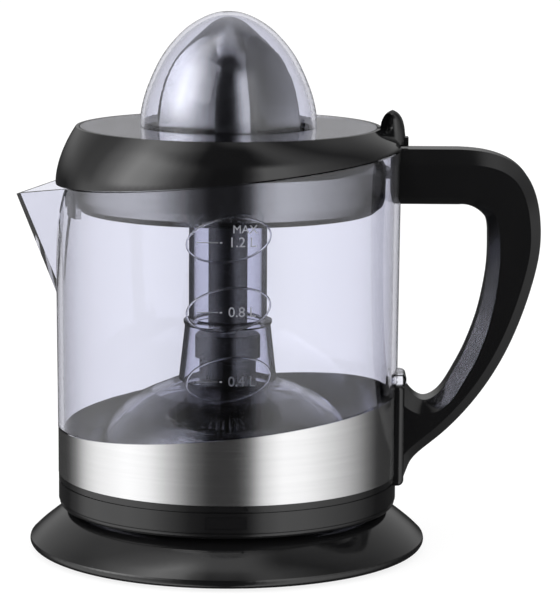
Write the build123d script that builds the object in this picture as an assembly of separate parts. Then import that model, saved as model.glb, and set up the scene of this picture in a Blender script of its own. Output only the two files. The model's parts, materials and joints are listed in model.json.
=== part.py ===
from build123d import *
import math
import os

# Citrus press juicer. Millimetres, +Z up, the drive axis is Z and the table is z = 0.
# The spout points along -X, the handle along +X, the front is -Y and the cord leaves at +Y.

# driving dimensions
SLOPE = 0.105
JUG_RIM_Z = 161.3
BAND_TOP_Z = 59.1
BAND_R = 71.3
SKIRT_Z = 161.9
RING_TOP_Z = 178.0
RING_TOP_R = 63.6
RING_SKIRT_R = 72.4
FLANGE_R = 61.8
NECK_R = 62.0
WELD_R = 67.4
SHAFT_R = 3.5
SPINDLE_R = 8.2
BOSS_R = 57.2
BOSS_ANGLES = (5, 90, 175, 280)
IDLER = (-30.4, 0.0)
MOTOR = (-23.515, -25.694)
SWITCH = (0.8, 11.3)
HANDLE_HALF = 11.0
HANDLE_STEP = 6.4


def joined(items):
    """Wire through (radius, height) corners and lists of points that make smooth curves."""
    edges = []
    first = last = None
    for item in items:
        run = item if isinstance(item, list) else [item]
        points = [Vector(r, 0, z) for r, z in run]
        if last is None:
            first = points[0]
        elif (points[0] - last).length > 1e-6:
            edges.append(Edge.make_line(last, points[0]))
        if len(points) > 1:
            edges.append(Edge.make_spline(points))
        last = points[-1]
    if (first - last).length > 1e-6:
        edges.append(Edge.make_line(last, first))
    return Wire(edges)


def turned(*items):
    """Solid of revolution about Z from a closed (radius, height) outline."""
    return revolve(Face(joined(items)), axis=Axis.Z)


def rod(radius, low, high, x=0.0, y=0.0):
    """Upright cylinder between two heights."""
    return Pos(x, y, (low + high) / 2) * Cylinder(radius, high - low)


def tube(outer, inner, low, high, x=0.0, y=0.0):
    """Upright ring between two heights."""
    return rod(outer, low, high, x, y) - rod(inner, low - 1, high + 1, x, y)


def block(x0, x1, y0, y1, z0, z1):
    """Box between two corners."""
    centre = ((x0 + x1) / 2, (y0 + y1) / 2, (z0 + z1) / 2)
    return Pos(*centre) * Box(x1 - x0, y1 - y0, z1 - z0)


def hexagon(flats, low, high):
    """Upright hexagonal bar, flats is the distance across flats."""
    sketch = RegularPolygon(flats / 2, 6, major_radius=False)
    return extrude(Pos(0, 0, low) * sketch, amount=high - low)


def under(height, slope=SLOPE):
    """Everything below the slanted plane z = height + slope * x."""
    tilt = -math.degrees(math.atan(slope))
    return Pos(0, 0, height) * Rot(0, tilt, 0) * Pos(0, 0, -150) * Box(400, 400, 300)


def inset(points, depth):
    """The same curve moved towards the axis and down by a wall thickness."""
    moved = []
    for i, (r, z) in enumerate(points):
        before = points[max(i - 1, 0)]
        after = points[min(i + 1, len(points) - 1)]
        dr = after[0] - before[0]
        dz = after[1] - before[1]
        size = math.hypot(dr, dz)
        moved.append((max(r - depth * abs(dz) / size, 0), z - depth * abs(dr) / size))
    return moved


def gear(teeth, module, low, high, turn):
    """Spur gear with involute flanks, one tooth centred on the angle turn in degrees."""
    pitch = teeth * module / 2
    base = pitch * math.cos(math.radians(20))
    tip = pitch + 0.85 * module
    root = pitch - 1.1 * module
    half = math.pi / (2 * teeth) - 0.11 / pitch

    def lean(radius):
        a = math.acos(min(1.0, base / radius))
        return math.tan(a) - a

    start = max(base, root)
    radii = [start + (tip - start) * i / 3 for i in range(4)]
    sides = [(r, half + lean(pitch) - lean(r)) for r in radii]
    if root < base:
        sides.insert(0, (root, sides[0][1]))
    points = []
    for tooth in range(teeth):
        middle = math.radians(turn) + tooth * 2 * math.pi / teeth
        for r, a in sides:
            points.append((r * math.cos(middle - a), r * math.sin(middle - a)))
        for r, a in reversed(sides):
            points.append((r * math.cos(middle + a), r * math.sin(middle + a)))
    wire = Wire.make_polygon([Vector(x, y, low) for x, y in points], close=True)
    return extrude(Face(wire), amount=high - low)


# dust cover
DOME = [
    (36.8, 178.0),
    (36.3, 185.0),
    (34.4, 192.4),
    (31.8, 199.0),
    (28.4, 205.9),
    (24.7, 211.3),
    (21.1, 215.4),
    (17.0, 219.2),
    (12.0, 222.4),
    (6.4, 224.8),
    (0.0, 225.7),
]


def dust_cover():
    outside = DOME
    inside = inset(DOME, 1.6)
    inside[0] = (35.2, 178.0)
    inside[-1] = (0.0, 224.1)
    return turned(
        (FLANGE_R, 176.0),
        (FLANGE_R, 178.0),
        outside,
        list(reversed(inside)),
        (35.2, 176.0),
    )


# reamer
CONE = [
    (30.0, 172.0),
    (29.8, 179.1),
    (29.0, 186.4),
    (27.3, 194.5),
    (24.8, 200.9),
    (22.3, 205.5),
    (19.6, 209.0),
    (15.0, 213.6),
    (10.5, 217.9),
    (4.8, 222.0),
    (0.0, 223.5),
]
FLUTE_CENTRE = (-50.9, 177.7)
FLUTE_R = 74.2
FLUTE_TUBE = 55.0
FLUTE_TURN = 4.3


def flutes(grow):
    """Four hollow cuts down the reamer, grown by a wall thickness for its inside."""
    one = Torus(FLUTE_R + FLUTE_TUBE, FLUTE_TUBE + grow)
    one = Pos(FLUTE_CENTRE[0], 0, FLUTE_CENTRE[1]) * Rot(90, 0, 0) * one
    one = one & block(0, 80, -60, 60, 150, 240)
    cuts = [Rot(0, 0, FLUTE_TURN + 45 + 90 * i) * one for i in range(4)]
    return cuts


def cone_shell():
    outer = turned(CONE, (0, 172.0))
    inner_curve = inset(CONE, 0.9)
    inner_curve[0] = (29.1, 171.0)
    inner_curve[-1] = (0.0, 222.6)
    inner = turned(inner_curve, (0, 171.0))
    for cut in flutes(0.0):
        outer = outer - cut
    for cut in flutes(0.9):
        inner = inner - cut
    return outer - inner


def cone_hub():
    """Black socket moulding under the steel shell, with a rim the shell is rolled over."""
    hub = rod(12.0, 162.0, 192.0)
    hub = hub + rod(21.0, 171.0, 173.0)
    for i in range(4):
        rib = block(10, 26.5, -1.2, 1.2, 171.0, 184.0)
        hub = hub + Rot(0, 0, FLUTE_TURN + 90 * i) * rib
    hub = hub - hexagon(10.6, 161.0, 187.0) - rod(8.8, 161.0, 166.5)
    return hub & turned((29.0, 160.0), (28.6, 180.0), (20.0, 200.0), (0, 200.0), (0, 160.0))


# strainer
def skirt_section(share, shrink=0.0):
    """One slanted circle of the ring's convex skirt: share 0 is the top, 1 the lower edge."""
    spread = 1 - (1 - share) ** 1.7
    radius = RING_TOP_R + (RING_SKIRT_R - RING_TOP_R) * spread - shrink
    height = RING_TOP_Z + (SKIRT_Z - RING_TOP_Z) * share
    tilt = -math.degrees(math.atan(SLOPE)) * share
    return Pos(0, 0, height) * Rot(0, tilt, 0) * Circle(radius)


def strainer_ring():
    shares = (0.0, 0.12, 0.3, 0.55, 0.8, 1.0)
    body = loft([skirt_section(s) for s in shares])
    hollow = loft([skirt_section(s, 2.4) for s in shares])
    hollow = Pos(0, 0, -4.6) * hollow
    body = body - hollow
    body = body - rod(62.2, 175.9, 179.0)
    body = body - rod(56.0, 150.0, 179.0)
    body = body + (tab_shape(5.6) - rod(56.0, 150.0, 179.0) - rod(62.2, 175.9, 179.0))
    hook = block(72.0, 74.9, -3.0, 3.0, 170.2, 174.0) + block(70.0, 73.0, -3.0, 3.0, 170.2, 173.2)
    body = body + hook
    body = body - Pos(-1.7, -1.7, 0.4) * tab_hollow()
    return body


def tab_shape(radius):
    """Hooded thumb tab, a pointed arch standing on the ring."""
    shape = turned(
        (0, 171.0),
        (radius, 171.0),
        [
            (radius, 173.0),
            (radius * 0.9, 178.0),
            (radius * 0.62, 182.6),
            (0.0, 185.2),
        ],
    )
    return Pos(68.2, 0, 0) * shape


def tab_hollow():
    """Scoop in the tab that faces the front and the spout."""
    shape = turned(
        (0, 176.3),
        (3.6, 176.6),
        [
            (3.7, 177.4),
            (3.2, 180.2),
            (2.0, 182.6),
            (0.0, 183.6),
        ],
    )
    scoop = Pos(68.2, 0, 0) * shape
    return scoop + Pos(65.8, -2.4, 0) * shape


def strainer_bowl():
    """Slotted bowl that hangs inside the jug from the ring."""
    body = turned(
        (59.2, 173.4),
        (59.2, 169.9),
        (63.9, 161.6),
        (63.6, 149.5),
        (62.8, 147.2),
        (60.8, 145.2),
        (59.0, 145.0),
        (24.0, 146.6),
        (19.6, 146.6),
        (19.6, 157.0),
        (9.0, 157.0),
        (9.0, 155.0),
        (17.6, 155.0),
        (17.6, 148.8),
        (17.6, 145.2),
        (20.2, 144.8),
        (59.0, 143.2),
        (61.4, 143.4),
        (64.6, 146.0),
        (65.6, 149.2),
        (65.9, 162.0),
        (61.0, 170.4),
        (61.0, 173.4),
    )
    for i in range(36):
        slot = block(27.0, 54.0, -0.8, 0.8, 140.0, 149.0)
        body = body - Rot(0, 0, 10 * i + 5) * slot
    lug = tube(67.2, 64.9, 142.2, 156.0) & wedge(180, 25)
    heel = tube(68.0, 65.2, 157.5, 161.0) & wedge(0, 8)
    return body + lug + heel


def wedge(middle, half):
    """Upright wedge of space around one direction, for cutting sectors."""
    reach = 120.0
    side = reach * math.tan(math.radians(half))
    points = [Vector(0, 0, 0), Vector(reach, -side, 0), Vector(reach, side, 0)]
    face = Face(Wire.make_polygon(points, close=True))
    return Rot(0, 0, middle) * extrude(face, amount=220.0)


# jug
OUTER_WALL = [(71.4, 45.0), (71.6, 76.0), (72.0, 145.0), (72.1, 175.0)]
BELL_TOP = [(57.0, 42.2), (54.6, 44.2), (53.0, 48.0), (49.4, 54.4), (44.5, 59.5)]
BELL_CROWN = [(44.5, 59.5), (39.0, 63.6), (33.0, 66.6), (25.0, 70.0)]
BELL_BELOW = [(31.0, 65.0), (36.8, 61.8), (42.6, 57.8), (47.8, 52.2), (50.8, 46.8), (52.6, 40.0)]


def jug_outside():
    """Solid envelope of the jug's wall, spout left out."""
    return turned((0, 34.0), (70.4, 34.0), (71.3, 40.0), *OUTER_WALL, (0, 175.0))


def spout(shrink, push):
    """Pointed wedge of the spout, from the wall to a sharp leading edge."""
    top = 176.0
    tip_x, tip_z = -88.6 + push, 149.3
    foot_x, foot_z = -70.6 + push, 104.0 + shrink
    lean = (tip_x - foot_x) / (tip_z - foot_z)
    tip_top = Vector(tip_x + lean * (top - tip_z), 0, top)
    foot = Vector(foot_x, 0, foot_z)
    wide = (25.6 - shrink) * (top - foot_z) / (tip_z - foot_z)
    back = -64.0
    left = Vector(back, -wide, top)
    right = Vector(back, wide, top)
    low = Vector(back, 0, foot_z)
    faces = [
        Face(Wire.make_polygon([foot, tip_top, left], close=True)),
        Face(Wire.make_polygon([foot, right, tip_top], close=True)),
        Face(Wire.make_polygon([tip_top, right, left], close=True)),
        Face(Wire.make_polygon([low, left, right], close=True)),
        Face(Wire.make_polygon([foot, left, low], close=True)),
        Face(Wire.make_polygon([foot, low, right], close=True)),
    ]
    return Solid(Shell(faces))


def whole_jug():
    """Clear jug: wall, spout, floor, bell and centre column."""
    full = jug_outside() + spout(0.0, 0.0)
    cavity = turned(
        (69.0, 42.2),
        (69.2, 76.0),
        (69.6, 145.0),
        (69.7, 176.0),
        (16.4, 176.0),
        (16.4, 97.6),
        (18.6, 96.6),
        (18.6, 95.4),
        (18.0, 94.6),
        (20.6, 71.6),
        (25.0, 70.0),
        list(reversed(BELL_CROWN)),
        list(reversed(BELL_TOP)),
    )
    core = turned(
        (0, 33.0),
        (WELD_R, 33.0),
        (WELD_R, 40.0),
        (52.6, 40.0),
        list(reversed(BELL_BELOW)),
        (22.0, 68.4),
        (18.5, 70.4),
        (15.9, 94.6),
        (14.3, 97.4),
        (14.3, 148.0),
        (8.7, 148.0),
        (8.7, 176.0),
        (0, 176.0),
    )
    top_cut = rod(17.0, 150.0, 176.5)
    body = full - cavity - core - top_cut
    body = body - spout(2.0, 2.9)
    body = body & under(JUG_RIM_Z)
    # the pouring lip falls a little towards its tip
    lip = Pos(-67.0, 0, JUG_RIM_Z - 7.1) * Rot(0, -13.4, 0) * Pos(-50, 0, 50) * Box(100, 80, 100)
    body = body - lip
    seat = tube(80.0, 70.45, 20.0, 90.0) & under(BAND_TOP_Z + 0.15)
    body = body - (seat & block(-90, 90, -90, 90, 33, 90))
    cap = block(69.0, 75.2, -9.5, 9.5, 70.8, 74.8)
    cap = fillet(cap.edges().filter_by(Axis.Z).group_by(Axis.X)[-1], 3.0)
    cap = fillet(cap.edges().group_by(Axis.Z)[-1].sort_by(Axis.X)[-1:], 2.0)
    return body + (cap - jug_outside())


def jug_parts():
    """The wall with its spout, and the floor with its bell, welded together at WELD_R."""
    whole = whole_jug()
    middle = rod(WELD_R, 30.0, 180.0)
    return whole - middle, whole & middle


def steel_band():
    return tube(BAND_R, 70.5, 32.3, 80.0) & under(BAND_TOP_Z)


def jug_base_ring():
    body = turned(
        (66.9, 33.9),
        (66.9, 19.6),
        (68.0, 18.3),
        (69.0, 18.3),
        [(69.0, 18.3), (70.2, 18.8), (70.85, 20.2)],
        (70.85, 20.6),
        (70.6, 20.8),
        (70.6, 21.1),
        (71.2, 21.3),
        (71.2, 29.2),
        (70.7, 29.35),
        (70.7, 29.75),
        (71.2, 29.9),
        (71.2, 32.2),
        (70.3, 32.2),
        (70.3, 33.9),
    )
    window = block(-7.5, 11.5, -75.0, -70.6, 22.6, 27.8)
    body = body - window
    for x in (-5.0, 9.0):
        body = body + Pos(x, -70.8, 31.1) * Rot(90, 0, 0) * Cylinder(0.7, 1.2)
    for y in (-6.0, 6.0):
        body = body - Pos(68, y, 31.0) * Rot(0, 90, 0) * Cylinder(1.3, 12)
    return body


def handle_rail():
    """Upright bracket on the jug that the lower end of the handle fixes to."""
    body = block(60.0, 74.3, -13.0, 13.0, 27.7, 70.7)
    body = fillet(body.edges().filter_by(Axis.Z).group_by(Axis.X)[-1], 2.6)
    body = fillet(body.faces().sort_by(Axis.Z)[-1].edges().sort_by(Axis.X)[-1:], 1.8)
    body = fillet(body.faces().sort_by(Axis.Z)[0].edges().sort_by(Axis.X)[-1:], 2.6)
    body = body - rod(BAND_R, 20.0, 80.0) - jug_outside()
    for y in (-6.0, 6.0):
        body = body - Pos(68, y, 31.0) * Rot(0, 90, 0) * Cylinder(1.3, 10)
    return body


def handle_screws():
    """Two screws from inside the base ring into the rail."""
    both = []
    for y in (-6.0, 6.0):
        shank = Pos(69.2, y, 31.0) * Rot(0, 90, 0) * Cylinder(1.3, 7.6)
        head = Pos(65.0, y, 31.0) * Rot(0, 90, 0) * Cylinder(2.4, 2.4)
        both.append(shank + head)
    return Compound(both)


HANDLE_OUTER = [
    (96.0, 169.5),
    (100.0, 169.3),
    (105.0, 168.8),
    (110.6, 167.6),
    (117.2, 164.9),
    (123.2, 160.0),
    (127.8, 151.5),
    (130.1, 140.0),
    (130.2, 129.0),
    (127.5, 114.3),
    (123.3, 100.6),
    (117.8, 87.0),
    (110.3, 73.3),
    (100.2, 59.7),
    (88.0, 47.6),
    (80.5, 41.4),
    (77.2, 37.6),
    (75.4, 33.4),
    (74.5, 31.0),
]
HANDLE_INNER = [
    (74.3, 72.0),
    (76.4, 67.8),
    (79.2, 65.1),
    (82.4, 63.8),
    (85.8, 64.7),
    (89.6, 67.9),
    (93.8, 74.4),
    (98.0, 82.2),
    (102.0, 91.7),
    (104.4, 98.8),
    (107.1, 110.6),
    (108.6, 122.0),
    (108.7, 133.0),
    (107.4, 140.8),
    (103.4, 144.9),
    (96.0, 146.6),
]


def shifted(points, first, last):
    """Points moved to the right of their travel, by a depth that blends from first to last."""
    moved = []
    for i, (x, z) in enumerate(points):
        before = points[max(i - 1, 0)]
        after = points[min(i + 1, len(points) - 1)]
        dx = after[0] - before[0]
        dz = after[1] - before[1]
        size = math.hypot(dx, dz)
        share = i / (len(points) - 1)
        depth = first + (last - first) * min(1.0, 2.2 * share)
        moved.append((x + depth * dz / size, z - depth * dx / size))
    return moved


def handle_wire(y, top, outer, inner, bottom):
    """Side outline of the handle at one depth, drawn in by the bevels given."""
    over = shifted(HANDLE_OUTER, top, outer)
    below = shifted(list(reversed(HANDLE_INNER)), -bottom, -inner)
    wire = joined(
        [
            (68.0, over[0][1]),
            over,
            (60.0, over[-1][1]),
            (60.0, below[-1][1]),
            list(reversed(below)),
            (68.0, below[0][1]),
        ]
    )
    return Pos(0, y, 0) * wire


def handle_half():
    """One half of the faceted D handle, hollow behind its bevelled face, on the front side."""
    plain = handle_wire(0, 0, 0, 0, 0)
    body = extrude(Face(plain), amount=HANDLE_STEP, dir=(0, -1, 0))
    edge = handle_wire(-HANDLE_STEP, 0, 0, 0, 0)
    face = handle_wire(-HANDLE_HALF, 6.0, 4.3, 5.5, 3.2)
    body = body + Solid.make_loft([edge, face], ruled=True)
    hollow = handle_wire(0, 4.6, 3.4, 3.4, 3.0)
    body = body - extrude(Face(hollow), amount=HANDLE_STEP + 1.6, dir=(0, -1, 0))
    body = body - jug_outside()
    body = body - block(60.0, 75.4, -20.0, 20.0, 70.6, 76.0)
    return body - block(60.0, 74.3, -20.0, 20.0, 20.0, 72.0)


def handle_halves():
    front = handle_half()
    rear = mirror(front, about=Plane.XZ)
    return front, rear


# base
def base_housing():
    """Flared foot, neck, motor dome and drive tower in one moulding."""
    body = turned(
        (78.2, 0.6),
        [(78.2, 0.6), (81.4, 1.1), (83.0, 2.4), (83.1, 4.7)],
        [(83.1, 4.7), (79.4, 8.2), (75.2, 11.6), (70.7, 14.9), (65.8, 17.5)],
        (62.6, 17.7),
        (NECK_R, 18.3),
        (NECK_R, 38.2),
        (60.6, 39.7),
        (51.8, 39.7),
        [(50.6, 42.0), (49.6, 46.4), (46.2, 51.8), (41.2, 56.6), (35.6, 60.3), (30.0, 63.0)],
        (16.0, 66.6),
        (11.9, 68.0),
        (11.9, 81.0),
        (10.9, 81.0),
        (10.9, 88.5),
        (9.8, 88.5),
        (9.8, 65.6),
        (15.6, 64.4),
        [(29.2, 60.9), (34.4, 58.4), (39.8, 54.9), (44.4, 50.4), (47.4, 45.6), (48.4, 40.6)],
        (48.4, 37.5),
        (59.8, 37.5),
        (59.8, 18.0),
        (61.6, 15.6),
        [(65.2, 15.3), (69.8, 12.7), (74.2, 9.4), (77.8, 6.2), (80.4, 3.4)],
        (76.5, 3.4),
        (76.5, 0.6),
    )
    for angle in BOSS_ANGLES:
        body = body + Rot(0, 0, angle) * (rod(3.6, 5.1, 28.5, BOSS_R, 0) - rod(80, 0, 4))
    body = body & rod(90, 0, 100)
    for angle in BOSS_ANGLES:
        body = body - Rot(0, 0, angle) * rod(1.5, 5.0, 16.0, BOSS_R, 0)
    return body - block(-5.4, 5.4, 62.0, 90.0, 0.0, 14.6)


def tower_cap():
    return turned(
        (10.9, 81.0),
        (13.7, 81.0),
        (13.7, 90.2),
        (12.9, 91.0),
        (4.2, 91.0),
        (4.2, 88.5),
        (10.9, 88.5),
    )


def output_bush():
    return tube(9.8, SHAFT_R + 0.06, 79.0, 88.5)


def bottom_plate():
    body = rod(76.4, 1.0, 3.2) - tube(74.05, 63.95, 0.0, 2.2)
    body = body + rod(9.5, 3.0, 12.8)
    body = body - rod(SHAFT_R + 0.4, 5.5, 14.0)
    for angle in BOSS_ANGLES:
        turn = Rot(0, 0, angle)
        body = body + turn * rod(5.0, 3.0, 5.1, BOSS_R, 0)
        body = body - turn * rod(3.3, 0.0, 3.4, BOSS_R, 0) - turn * rod(1.5, 0, 6, BOSS_R, 0)
    for i in range(10):
        slot = block(38.0, 50.0, -1.2, 1.2, 0.0, 4.0)
        body = body - Rot(0, 0, 22 + 12 * i) * slot
    return body


def foot_ring():
    return tube(74.0, 64.0, 0.0, 2.2)


def base_screws():
    """Four like screws up through the bottom plate."""
    one = rod(3.0, 1.4, 3.4, BOSS_R, 0) + rod(1.5, 3.4, 15.0, BOSS_R, 0)
    one = one - block(BOSS_R - 2, BOSS_R + 2, -0.4, 0.4, 1.0, 2.2)
    return Compound([Rot(0, 0, angle) * one for angle in BOSS_ANGLES])


def gearbox_plate():
    body = rod(59.6, 28.5, 30.5)
    body = body - rod(7.06, 28.0, 31.0)
    body = body - rod(2.0, 28.0, 31.0, *IDLER) - rod(4.0, 28.0, 31.0, *MOTOR)
    for angle in (40, 130, 320):
        body = body - Rot(0, 0, angle) * rod(8.0, 28.0, 31.0, 38.0, 0)
    return body


def gear_pin():
    return rod(2.0, 27.5, 44.6, *IDLER) + rod(3.2, 26.8, 28.5, *IDLER)


def output_gear():
    body = gear(60, 0.8, 39.6, 44.4, 180.0)
    body = body + rod(8.0, 30.7, 48.0) + rod(7.0, 28.6, 31.0)
    return body - hexagon(7.7, 28.0, 49.0)


def output_shaft():
    body = rod(SHAFT_R, 9.0, 93.0)
    body = body + hexagon(7.1, 27.0, 52.0)
    body = body + hexagon(6.0, 92.5, 107.0)
    return body + rod(12.0, 24.0, 25.4)


def return_spring():
    """Compression spring between the bottom plate's guide and the shaft's collar."""
    wire = 0.6
    path = Pos(0, 0, 13.5) * Helix(pitch=2.4, height=9.8, radius=6.2)
    profile = Plane(origin=path @ 0, z_dir=path % 0) * Circle(wire)
    return sweep(profile, path=path, is_frenet=True)


def microswitch():
    """Switch beside the shaft, its neck under the edge of the shaft's collar."""
    body = block(-2.0, 18.0, 10.0, 16.5, 5.0, 18.0) + rod(2.2, 17.0, 19.4, *SWITCH)
    body = body + block(1.0, 16.0, 11.0, 15.5, 3.2, 6.0)
    return body - rod(1.65, 14.0, 25.0, *SWITCH)


def switch_plunger():
    return rod(1.3, 17.5, 23.9, *SWITCH)


def idler_gear():
    toward_motor = math.degrees(math.atan2(MOTOR[1] - IDLER[1], MOTOR[0] - IDLER[0]))
    big = gear(60, 0.7, 31.6, 35.2, toward_motor)
    small = gear(16, 0.8, 35.0, 44.4, 180.0 / 16)
    body = big + small + rod(5.2, 30.7, 36.0)
    return Pos(IDLER[0], IDLER[1], 0) * (body - rod(2.06, 30.0, 46.0))


def motor_pinion():
    toward_idler = math.degrees(math.atan2(IDLER[1] - MOTOR[1], IDLER[0] - MOTOR[0]))
    body = gear(16, 0.7, 31.2, 36.4, toward_idler + 180.0 / 16)
    return Pos(MOTOR[0], MOTOR[1], 0) * (body - rod(1.5, 30.0, 40.0))


def motor_shaft():
    return rod(1.5, 6.8, 36.4, *MOTOR)


def rotor_magnet():
    return tube(11.2, 1.5, 9.4, 23.4, *MOTOR)


def stator_poles():
    """Ring of claw poles between the coil and the magnet."""
    body = tube(13.0, 12.0, 7.2, 25.0)
    for i in range(12):
        body = body - Rot(0, 0, 30 * i) * block(10, 15, -0.7, 0.7, 9.0, 23.5)
    return Pos(MOTOR[0], MOTOR[1], 0) * body


def motor_coil():
    return tube(20.6, 13.2, 8.4, 23.8, *MOTOR)


def motor_can():
    body = rod(22.0, 6.0, 25.0, *MOTOR) - rod(21.0, 7.2, 26.0, *MOTOR)
    body = body - rod(1.56, 5.0, 8.0, *MOTOR)
    return body + tube(3.5, 1.56, 4.8, 6.4, *MOTOR)


def motor_lid():
    body = rod(22.0, 25.0, 26.2)
    for angle in (30, 150, 270):
        body = body + Rot(0, 0, angle) * rod(2.6, 26.0, 28.5, 18.0, 0)
    body = body - rod(1.56, 24.0, 30.0)
    return Pos(MOTOR[0], MOTOR[1], 0) * body


def cord_gland():
    """Rubber block in the housing's rear notch, with the cord's bore through it."""
    body = block(-5.3, 5.3, 71.0, 84.0, 3.3, 14.5)
    body = fillet(body.edges().filter_by(Axis.Y), 2.4)
    body = fillet(body.faces().sort_by(Axis.Y)[-1].edges(), 0.8)
    body = body + block(-5.3, 5.3, 76.6, 82.0, 0.8, 8.0)
    return body - Pos(0, 77.5, 9.2) * Rot(90, 0, 0) * Cylinder(3.4, 20.0)


def spindle():
    """Drive spindle that lives in the jug's column and turns the reamer."""
    body = rod(SPINDLE_R, 94.2, 166.0) + rod(11.5, 153.0, 154.6)
    body = body + hexagon(10.0, 165.0, 185.0)
    return body - hexagon(6.7, 90.0, 110.0)


def write(shape, node):
    export_step(shape, "parts/" + node + ".step")


def main():
    os.makedirs("parts", exist_ok=True)
    front, rear = handle_halves()
    wall, bell = jug_parts()
    write(dust_cover(), "dust_cover")
    write(cone_shell(), "cone_shell")
    write(cone_hub(), "cone_hub")
    write(strainer_ring(), "strainer_ring")
    write(strainer_bowl(), "strainer_bowl")
    write(wall, "jug_wall")
    write(bell, "jug_bell")
    write(steel_band(), "steel_band")
    write(jug_base_ring(), "jug_base_ring")
    write(handle_rail(), "handle_rail")
    write(front, "handle_front")
    write(rear, "handle_rear")
    write(handle_screws(), "handle_screws")
    write(base_housing(), "base_housing")
    write(tower_cap(), "tower_cap")
    write(output_bush(), "output_bush")
    write(bottom_plate(), "bottom_plate")
    write(foot_ring(), "foot_ring")
    write(base_screws(), "base_screws")
    write(gearbox_plate(), "gearbox_plate")
    write(gear_pin(), "gear_pin")
    write(output_gear(), "output_gear")
    write(output_shaft(), "output_shaft")
    write(return_spring(), "return_spring")
    write(microswitch(), "microswitch")
    write(switch_plunger(), "switch_plunger")
    write(idler_gear(), "idler_gear")
    write(motor_pinion(), "motor_pinion")
    write(motor_shaft(), "motor_shaft")
    write(rotor_magnet(), "rotor_magnet")
    write(stator_poles(), "stator_poles")
    write(motor_coil(), "motor_coil")
    write(motor_can(), "motor_can")
    write(motor_lid(), "motor_lid")
    write(cord_gland(), "cord_gland")
    write(spindle(), "spindle")


main()
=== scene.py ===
import json
import math

import bmesh
import bpy
from mathutils import Matrix, Vector


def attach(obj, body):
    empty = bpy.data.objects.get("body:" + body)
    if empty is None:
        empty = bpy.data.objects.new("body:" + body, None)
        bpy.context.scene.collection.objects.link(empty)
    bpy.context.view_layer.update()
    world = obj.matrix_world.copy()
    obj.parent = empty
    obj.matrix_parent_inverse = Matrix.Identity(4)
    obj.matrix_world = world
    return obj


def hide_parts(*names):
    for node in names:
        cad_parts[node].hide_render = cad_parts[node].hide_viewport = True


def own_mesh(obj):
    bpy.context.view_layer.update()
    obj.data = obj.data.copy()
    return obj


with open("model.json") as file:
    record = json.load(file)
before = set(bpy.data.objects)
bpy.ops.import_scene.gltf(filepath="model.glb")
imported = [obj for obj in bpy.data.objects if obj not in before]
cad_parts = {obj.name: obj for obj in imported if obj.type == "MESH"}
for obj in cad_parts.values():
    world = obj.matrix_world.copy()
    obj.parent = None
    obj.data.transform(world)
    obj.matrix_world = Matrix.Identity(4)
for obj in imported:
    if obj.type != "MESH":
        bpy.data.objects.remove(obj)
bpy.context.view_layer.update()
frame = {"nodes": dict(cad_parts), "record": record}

NODES = frame["nodes"]
MM = 0.001

# sizes that the looks share, in millimetres
JUG_FRONT_R = 72.0
LITRE_MARKS = (("0.4", 83.0), ("0.8", 111.0), ("1.2", 139.0))
OVAL_LONG, OVAL_SHORT, OVAL_LEAN = 17.0, 8.6, 9
OVAL_STEPS = 96

# the photograph's view: metres, degrees, and a long lens
CAMERA_PLACE = (0.0219, -1.25, 0.305)
CAMERA_PITCH, CAMERA_ROLL = 9.1, 0.38
CAMERA_LENS = 180.8

# what the pieces mirror: azimuth in degrees from the camera to the right, and
# brightness, for directions below the table's horizon, above it, and well above it
LOW_ROOM = [
    (-180, 0.01),
    (-136, 0.015),
    (-123, 0.07),
    (-110, 0.24),
    (-98, 0.34),
    (-70, 0.43),
    (-54, 0.38),
    (-39, 0.21),
    (-24, 0.055),
    (-12, 0.01),
    (9, 0.01),
    (16, 0.045),
    (25, 0.27),
    (38, 0.41),
    (55, 0.38),
    (88, 0.19),
    (110, 0.055),
    (123, 0.01),
    (180, 0.01),
]
MIDDLE_ROOM = [
    (-180, 0.12),
    (-140, 0.13),
    (-120, 0.1),
    (-105, 0.16),
    (-90, 0.5),
    (-74, 1.2),
    (-58, 1.0),
    (-39, 0.34),
    (-24, 0.05),
    (-12, 0.004),
    (7, 0.004),
    (14, 0.1),
    (24, 0.5),
    (38, 0.5),
    (55, 0.3),
    (88, 0.1),
    (105, 0.04),
    (125, 0.08),
    (150, 0.12),
    (180, 0.12),
]
HIGH_ROOM = [
    (-180, 0.2),
    (-140, 0.13),
    (-118, 0.16),
    (-100, 0.34),
    (-80, 0.76),
    (-64, 0.6),
    (-45, 0.24),
    (-28, 0.015),
    (22, 0.012),
    (34, 0.1),
    (46, 0.2),
    (60, 0.22),
    (80, 0.14),
    (100, 0.04),
    (150, 0.17),
    (180, 0.2),
]
ZENITH = 0.26
ROOM_POWER = 3.6
WHITE_POWER = 1.03
# degrees above the table between which one room gives way to the next
LOW_TO_MIDDLE = (-4, 12)
MIDDLE_TO_HIGH = (38, 54)
HIGH_TO_ZENITH = (72, 86)
# azimuth past which light that turned inside a clear wall sees white
WALL_TO_WHITE = (60, 120)


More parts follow.
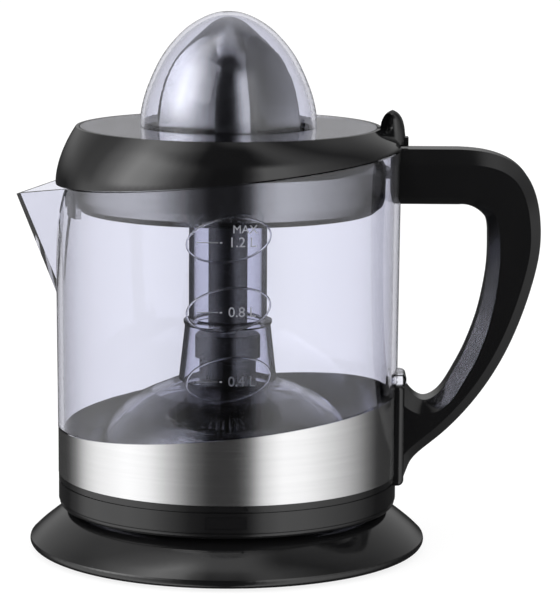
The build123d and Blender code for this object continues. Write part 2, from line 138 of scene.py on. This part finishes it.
# ---------------------------------------------------------------- node helpers
class Shader:
    """A material with one Principled shader, and short calls for the nodes round it."""

    def __init__(self, name):
        self.material = bpy.data.materials.new(name)
        self.material.use_nodes = True
        self.tree = self.material.node_tree
        self.shader = self.tree.nodes["Principled BSDF"]

    def set(self, **values):
        for key, value in values.items():
            self.shader.inputs[key.replace("_", " ")].default_value = value
        return self

    def node(self, kind, **settings):
        made = self.tree.nodes.new(kind)
        for key, value in settings.items():
            if key in made.inputs:
                made.inputs[key].default_value = value
            else:
                setattr(made, key, value)
        return made

    def link(self, source, target):
        self.tree.links.new(source, target)

    def place(self, scale=(1, 1, 1)):
        """The piece's own coordinates in metres, stretched by scale."""
        where = self.node("ShaderNodeTexCoord")
        mapping = self.node("ShaderNodeMapping")
        mapping.inputs["Scale"].default_value = scale
        self.link(where.outputs["Object"], mapping.inputs["Vector"])
        return mapping.outputs["Vector"]

    def noise(self, scale, detail=3.0, rough=0.5, stretch=(1, 1, 1)):
        made = self.node("ShaderNodeTexNoise")
        made.inputs["Scale"].default_value = scale
        made.inputs["Detail"].default_value = detail
        made.inputs["Roughness"].default_value = rough
        self.link(self.place(stretch), made.inputs["Vector"])
        return made.outputs["Fac"]

    def span(self, value, low, high, start=0.3, end=0.7):
        """Value from start to end, mapped to low to high."""
        made = self.node("ShaderNodeMapRange")
        made.inputs["From Min"].default_value = start
        made.inputs["From Max"].default_value = end
        made.inputs["To Min"].default_value = low
        made.inputs["To Max"].default_value = high
        self.link(value, made.inputs["Value"])
        return made.outputs["Result"]

    def blend(self, value, first, second):
        made = self.node("ShaderNodeMix", data_type="RGBA")
        made.inputs["A"].default_value = (*first, 1)
        made.inputs["B"].default_value = (*second, 1)
        self.link(value, made.inputs["Factor"])
        return made.outputs["Result"]

    def bump(self, height, depth, strength=1.0):
        made = self.node("ShaderNodeBump")
        made.inputs["Strength"].default_value = strength
        made.inputs["Distance"].default_value = depth
        self.link(height, made.inputs["Height"])
        self.link(made.outputs["Normal"], self.shader.inputs["Normal"])

    def drive(self, name, value):
        self.link(value, self.shader.inputs[name])


# ---------------------------------------------------------------- materials
def gloss_black():
    """Polished black plastic with a faint moulded waviness and a few soft wipe marks."""
    s = Shader("gloss_black")
    s.set(IOR=1.52)
    marks = s.noise(35, 4, 0.6, (1, 1, 0.4))
    s.drive("Base Color", s.blend(marks, (0.004, 0.004, 0.0043), (0.007, 0.007, 0.0074)))
    s.drive("Roughness", s.span(marks, 0.06, 0.13))
    s.bump(s.noise(45, 1), 0.00002, 0.15)
    return s.material


def smoked_gloss():
    """Dark smoked plastic of the bowl. The coat's index is far above any plastic's: it stands
    in for the strong reflections seen in it."""
    s = Shader("smoked_gloss")
    s.set(IOR=1.5, Coat_Weight=1.0, Coat_IOR=3.4, Coat_Roughness=0.05)
    marks = s.noise(30, 3, 0.5, (1, 1, 0.4))
    s.drive("Base Color", s.blend(marks, (0.003, 0.003, 0.0034), (0.006, 0.006, 0.0066)))
    s.drive("Roughness", s.span(marks, 0.08, 0.16))
    return s.material


def satin_black():
    """Black plastic with a fine spark-eroded grain."""
    s = Shader("satin_black")
    s.set(IOR=1.5)
    grain = s.noise(2600, 2)
    s.drive("Base Color", s.blend(s.noise(60), (0.012, 0.012, 0.013), (0.02, 0.02, 0.021)))
    s.drive("Roughness", s.span(grain, 0.22, 0.38))
    s.bump(grain, 0.00002, 0.4)
    return s.material


def clear_plastic(name, tint, edge):
    """Clear moulded plastic with a faint tint, flow lines and slight haze."""
    s = Shader(name)
    s.set(Transmission_Weight=1.0, IOR=1.49)
    # light that slants through the wall crosses more of it
    slant = s.node("ShaderNodeLayerWeight", Blend=0.5).outputs["Facing"]
    cloud = s.blend(s.noise(12, 2), tint, tuple(min(1, c + 0.008) for c in tint))
    made = s.node("ShaderNodeMix", data_type="RGBA")
    made.inputs["B"].default_value = (*edge, 1)
    s.link(cloud, made.inputs["A"])
    s.link(slant, made.inputs["Factor"])
    s.drive("Base Color", made.outputs["Result"])
    s.drive("Roughness", s.span(s.noise(25, 3), 0.0, 0.025))
    s.bump(s.noise(18, 2, 0.4, (1, 1, 0.3)), 0.00005, 0.2)
    return s.material


def frosted_mark():
    """Raised print on the jug: the same plastic with a ground face."""
    s = Shader("frosted_mark")
    s.set(Transmission_Weight=0.8, IOR=1.49)
    grain = s.noise(900, 3)
    s.drive("Base Color", s.blend(grain, (0.62, 0.63, 0.68), (0.8, 0.8, 0.85)))
    s.drive("Roughness", s.span(grain, 0.25, 0.5))
    s.bump(grain, 0.00003, 0.5)
    return s.material


def polished_steel():
    """Pressed and polished stainless steel with faint polishing lines up the cone, darker than
    real steel because the room it mirrors is drawn bright."""
    s = Shader("polished_steel")
    s.set(Metallic=1.0)
    lines = s.noise(420, 4, 0.6, (1, 1, 0.05))
    s.drive("Base Color", s.blend(s.noise(40), (0.27, 0.272, 0.28), (0.33, 0.332, 0.34)))
    s.drive("Roughness", s.span(lines, 0.12, 0.2))
    s.bump(lines, 0.00001, 0.2)
    return s.material


def brushed_band():
    """Stainless sheet brushed round the jug: long fine scratches that run level."""
    s = Shader("brushed_band")
    s.set(Metallic=1.0)
    fine = s.noise(260, 5, 0.65, (0.12, 0.12, 14))
    broad = s.noise(120, 3, 0.6, (0.1, 0.1, 5))
    s.drive("Base Color", s.blend(broad, (0.62, 0.62, 0.625), (0.69, 0.69, 0.695)))
    s.drive("Roughness", s.span(fine, 0.13, 0.22))
    s.bump(fine, 0.00001, 0.22)
    return s.material


def plain_steel():
    """Bright zinc-plated or rolled steel of the inner parts."""
    s = Shader("plain_steel")
    s.set(Metallic=1.0)
    rolled = s.noise(300, 4, 0.6, (1, 1, 6))
    s.drive("Base Color", s.blend(rolled, (0.46, 0.47, 0.49), (0.6, 0.61, 0.62)))
    s.drive("Roughness", s.span(rolled, 0.25, 0.42))
    s.bump(rolled, 0.00001, 0.3)
    return s.material


def rubber():
    """Matt black rubber with a dusty grain."""
    s = Shader("rubber")
    s.set(IOR=1.45)
    grain = s.noise(1500, 3)
    s.drive("Base Color", s.blend(grain, (0.018, 0.018, 0.018), (0.035, 0.035, 0.034)))
    s.drive("Roughness", s.span(grain, 0.7, 0.9))
    s.bump(grain, 0.00005, 0.5)
    return s.material


def nylon():
    """Natural white nylon of the gears, a little milky."""
    s = Shader("nylon")
    s.set(IOR=1.53, Subsurface_Weight=0.15, Subsurface_Scale=0.002)
    cloud = s.noise(120, 3)
    s.drive("Base Color", s.blend(cloud, (0.78, 0.76, 0.69), (0.86, 0.85, 0.8)))
    s.drive("Roughness", s.span(cloud, 0.32, 0.48))
    s.bump(s.noise(900, 2), 0.00002, 0.3)
    return s.material


def metal(name, dark, light, low, high, scale):
    """A coloured metal with its own grain."""
    s = Shader(name)
    s.set(Metallic=1.0)
    grain = s.noise(scale, 4, 0.6)
    s.drive("Base Color", s.blend(grain, dark, light))
    s.drive("Roughness", s.span(grain, low, high))
    s.bump(grain, 0.00003, 0.4)
    return s.material


def copper_winding():
    """Enamelled wire laid in level turns."""
    s = Shader("copper_winding")
    s.set(Metallic=1.0)
    wave = s.node("ShaderNodeTexWave", bands_direction="Z")
    wave.inputs["Scale"].default_value = 420
    wave.inputs["Distortion"].default_value = 0.6
    s.link(s.place(), wave.inputs["Vector"])
    s.drive("Base Color", s.blend(wave.outputs["Fac"], (0.42, 0.15, 0.06), (0.78, 0.36, 0.18)))
    s.drive("Roughness", s.span(wave.outputs["Fac"], 0.25, 0.4, 0, 1))
    s.bump(wave.outputs["Fac"], 0.0001, 0.8)
    return s.material


def ferrite():
    """Dark sintered magnet."""
    s = Shader("ferrite")
    grain = s.noise(1200, 4)
    s.drive("Base Color", s.blend(grain, (0.03, 0.03, 0.032), (0.07, 0.07, 0.072)))
    s.drive("Roughness", s.span(grain, 0.45, 0.65))
    s.bump(grain, 0.00004, 0.5)
    return s.material


MATERIALS = {
    "clear_plastic": clear_plastic("clear_plastic", (0.82, 0.828, 0.895), (0.78, 0.78, 0.87)),
    "smoked_gloss": smoked_gloss(),
    "gloss_black": gloss_black(),
    "satin_black": satin_black(),
    "polished_steel": polished_steel(),
    "brushed_band": brushed_band(),
    "steel": plain_steel(),
    "rubber": rubber(),
    "nylon": nylon(),
    "bronze": metal("bronze", (0.42, 0.27, 0.11), (0.6, 0.42, 0.2), 0.35, 0.5, 900),
    "copper": copper_winding(),
    "ferrite": ferrite(),
}
MARK = frosted_mark()


def dress_cad():
    """Every CAD node gets its slot's material."""
    for part in frame["record"]["subparts"]:
        node = NODES[part["node"]]
        node.data.materials.clear()
        node.data.materials.append(MATERIALS[part["material_slot"]])


# ---------------------------------------------------------------- spring
def pressed_spring():
    """The shaft's spring as its own piece with its own mesh, hung on the base."""
    wire = NODES["return_spring"]
    made = bpy.data.objects.new("spring_coil", wire.data.copy())
    made.matrix_world = wire.matrix_world.copy()
    bpy.context.scene.collection.objects.link(made)
    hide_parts("return_spring")
    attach(made, "base")
    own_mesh(made)


# ---------------------------------------------------------------- litre scale
def on_wall(x, z, proud):
    """A point on the jug's front wall, x millimetres round it from the middle."""
    turn = x / JUG_FRONT_R
    radius = JUG_FRONT_R + 0.0125 * (z - 140) + proud
    return Vector((radius * math.sin(turn), -radius * math.cos(turn), z)) * MM


def bead(name, points, radius, closed):
    """A thin raised bead of the jug's plastic along points."""
    curve = bpy.data.curves.new(name, "CURVE")
    curve.dimensions = "3D"
    curve.bevel_depth = radius * MM
    curve.bevel_resolution = 3
    line = curve.splines.new("POLY")
    line.points.add(len(points) - 1)
    for target, point in zip(line.points, points):
        target.co = (*point, 1)
    line.use_cyclic_u = closed
    made = bpy.data.objects.new(name, curve)
    bpy.context.scene.collection.objects.link(made)
    return made


def lettering(name, text, x, z, size):
    """Raised characters bent round the jug's front wall."""
    curve = bpy.data.curves.new(name, "FONT")
    curve.body = text
    curve.size = size
    curve.extrude = 0.12
    curve.align_y = "CENTER"
    maker = bpy.data.objects.new(name + "_maker", curve)
    bpy.context.scene.collection.objects.link(maker)
    bpy.context.view_layer.update()
    mesh = bpy.data.meshes.new_from_object(maker)
    bpy.data.objects.remove(maker)
    shape = bmesh.new()
    shape.from_mesh(mesh)
    bmesh.ops.subdivide_edges(shape, edges=list(shape.edges), cuts=1)
    for v in shape.verts:
        v.co = on_wall(x + v.co.x, z + v.co.y, 0.1 + v.co.z)
    shape.to_mesh(mesh)
    shape.free()
    made = bpy.data.objects.new(name, mesh)
    bpy.context.scene.collection.objects.link(made)
    return made


def onto_jug(made, material):
    made.data.materials.clear()
    made.data.materials.append(material)
    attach(made, "jug")


def litre_scale():
    """Tick, dot, figures and slanted oval for each mark."""
    for figure, height in LITRE_MARKS:
        tag = figure.replace(".", "")
        tick = [on_wall(-11.2 + 0.5 * i, height, 0.0) for i in range(18)]
        onto_jug(bead(f"tick_{tag}", tick, 0.16, False), MARK)
        dot = [on_wall(-1.5, height - 0.2, 0.0), on_wall(-1.5, height + 0.2, 0.0)]
        onto_jug(bead(f"dot_{tag}", dot, 0.5, False), MARK)
        onto_jug(lettering(f"figure_{tag}", figure + " L", 1.4, height, 5.6), MARK)
        oval = []
        lean = math.radians(OVAL_LEAN)
        for i in range(OVAL_STEPS):
            turn = 2 * math.pi * i / OVAL_STEPS
            along, up = OVAL_LONG * math.cos(turn), OVAL_SHORT * math.sin(turn)
            x = 1.5 + along * math.cos(lean) - up * math.sin(lean)
            z = height + 1.0 + along * math.sin(lean) + up * math.cos(lean)
            oval.append(on_wall(x, z, -0.1))
        onto_jug(bead(f"oval_{tag}", oval, 0.42, True), MATERIALS["clear_plastic"])
    onto_jug(lettering("figure_max", "MAX", 3.0, 144.2, 4.6), MARK)


# ---------------------------------------------------------------- studio
def floor():
    mesh = bpy.data.meshes.new("floor")
    shape = bmesh.new()
    bmesh.ops.create_grid(shape, x_segments=1, y_segments=1, size=12.0)
    shape.to_mesh(mesh)
    shape.free()
    made = bpy.data.objects.new("floor", mesh)
    made.location.z = -0.2 * MM
    bpy.context.scene.collection.objects.link(made)
    s = Shader("floor_white")
    s.set(Roughness=0.9, Emission_Color=(1, 1, 1, 1), Emission_Strength=0.84)
    s.drive("Base Color", s.blend(s.noise(3), (0.18, 0.18, 0.18), (0.2, 0.2, 0.2)))
    mesh.materials.append(s.material)
    # the gloss pieces mirror the dark studio round the table and not the table itself, and
    # from below the table is not there
    ray = s.node("ShaderNodeLightPath")
    mirrored = s.node("ShaderNodeMath", operation="GREATER_THAN")
    mirrored.inputs[1].default_value = 0.5
    s.link(ray.outputs["Glossy Depth"], mirrored.inputs[0])
    unseen = s.node("ShaderNodeMath", operation="MAXIMUM")
    s.link(mirrored.outputs[0], unseen.inputs[0])
    s.link(s.node("ShaderNodeNewGeometry").outputs["Backfacing"], unseen.inputs[1])
    either = s.node("ShaderNodeMixShader")
    s.link(unseen.outputs[0], either.inputs[0])
    s.link(s.shader.outputs[0], either.inputs[1])
    s.link(s.node("ShaderNodeBsdfTransparent").outputs[0], either.inputs[2])
    s.link(either.outputs[0], s.tree.nodes["Material Output"].inputs["Surface"])


def soft_light(name, place, aim, size, power):
    lamp = bpy.data.lights.new(name, "AREA")
    lamp.shape = "RECTANGLE"
    lamp.size, lamp.size_y = size
    lamp.energy = power
    made = bpy.data.objects.new(name, lamp)
    made.location = place
    made.rotation_euler = (Vector(aim) - Vector(place)).to_track_quat("-Z", "Y").to_euler()
    made.visible_glossy = False
    bpy.context.scene.collection.objects.link(made)


def studio_world():
    """White to the eye and through the clear plastic; what the pieces mirror is a dark room
    with one tall soft panel on each side, and grey panels over it."""
    world = bpy.data.worlds.new("studio")
    bpy.context.scene.world = world
    world.use_nodes = True
    tree = world.node_tree
    link = tree.links.new

    def maths(kind, first, second=None):
        made = tree.nodes.new("ShaderNodeMath")
        made.operation = kind
        for socket, value in zip(made.inputs, (first, second)):
            if isinstance(value, (int, float)):
                socket.default_value = value
            elif value is not None:
                link(value, socket)
        return made.outputs[0]

    def share(value, low, high):
        made = tree.nodes.new("ShaderNodeMapRange")
        made.interpolation_type = "SMOOTHSTEP"
        made.inputs["From Min"].default_value = low
        made.inputs["From Max"].default_value = high
        link(value, made.inputs["Value"])
        return made.outputs[0]

    def around(stops):
        turn = tree.nodes.new("ShaderNodeMapRange")
        turn.inputs["From Min"].default_value = -180
        turn.inputs["From Max"].default_value = 180
        link(azimuth, turn.inputs["Value"])
        made = tree.nodes.new("ShaderNodeValToRGB")
        link(turn.outputs[0], made.inputs[0])
        points = made.color_ramp.elements
        while len(points) < len(stops):
            points.new(0.5)
        for point, (degrees, bright) in zip(points, stops):
            point.position = (degrees + 180) / 360
            point.color = (bright, bright, bright, 1)
        return made.outputs[0]

    def mixed(factor, first, second):
        made = tree.nodes.new("ShaderNodeMix")
        made.data_type = "RGBA"
        link(factor, made.inputs["Factor"])
        for name, value in (("A", first), ("B", second)):
            if isinstance(value, tuple):
                made.inputs[name].default_value = value
            else:
                link(value, made.inputs[name])
        return made.outputs["Result"]

    where = tree.nodes.new("ShaderNodeTexCoord")
    parts = tree.nodes.new("ShaderNodeSeparateXYZ")
    link(where.outputs["Generated"], parts.inputs[0])
    front = maths("MULTIPLY", parts.outputs["Y"], -1)
    azimuth = maths("MULTIPLY", maths("ARCTAN2", parts.outputs["X"], front), 180 / math.pi)
    height = maths("MULTIPLY", maths("ARCSINE", parts.outputs["Z"]), 180 / math.pi)
    low = around(LOW_ROOM)
    middle = around(MIDDLE_ROOM)
    high = around(HIGH_ROOM)
    room = mixed(share(height, *LOW_TO_MIDDLE), low, middle)
    room = mixed(share(height, *MIDDLE_TO_HIGH), room, high)
    room = mixed(share(height, *HIGH_TO_ZENITH), room, (ZENITH, ZENITH, ZENITH, 1))
    # what a piece mirrors is the room, also when it is seen through the jug or the cover;
    # light that turned inside the clear wall itself, after one or two crossings, and leaves
    # it towards the back stays white
    ray = tree.nodes.new("ShaderNodeLightPath")
    crossings = ray.outputs["Transmission Depth"]
    in_wall = maths("MULTIPLY", maths("GREATER_THAN", crossings, 0.5), maths("LESS_THAN", crossings, 3.5))
    in_wall = maths("MULTIPLY", in_wall, share(maths("ABSOLUTE", azimuth), *WALL_TO_WHITE))
    bounced = maths("GREATER_THAN", ray.outputs["Glossy Depth"], 0.5)
    mirrored = maths("MULTIPLY", bounced, maths("SUBTRACT", 1.0, in_wall))
    background = tree.nodes["Background"]
    link(mixed(mirrored, (1, 1, 1, 1), room), background.inputs["Color"])
    power = maths("ADD", maths("MULTIPLY", mirrored, ROOM_POWER - WHITE_POWER), WHITE_POWER)
    link(power, background.inputs["Strength"])


def camera():
    lens = bpy.data.cameras.new("camera")
    lens.lens = CAMERA_LENS
    lens.clip_end = 60
    made = bpy.data.objects.new("camera", lens)
    made.location = CAMERA_PLACE
    pitch = Matrix.Rotation(math.radians(90 - CAMERA_PITCH), 4, "X")
    roll = Matrix.Rotation(math.radians(CAMERA_ROLL), 4, "Z")
    made.rotation_euler = (pitch @ roll).to_euler()
    bpy.context.scene.collection.objects.link(made)
    bpy.context.scene.camera = made


dress_cad()
pressed_spring()
litre_scale()
floor()
studio_world()
soft_light("key", (-0.9, -0.9, 1.3), (0, 0, 0.1), (0.9, 0.9), 5)
camera()
bpy.context.scene.view_settings.view_transform = "Standard"
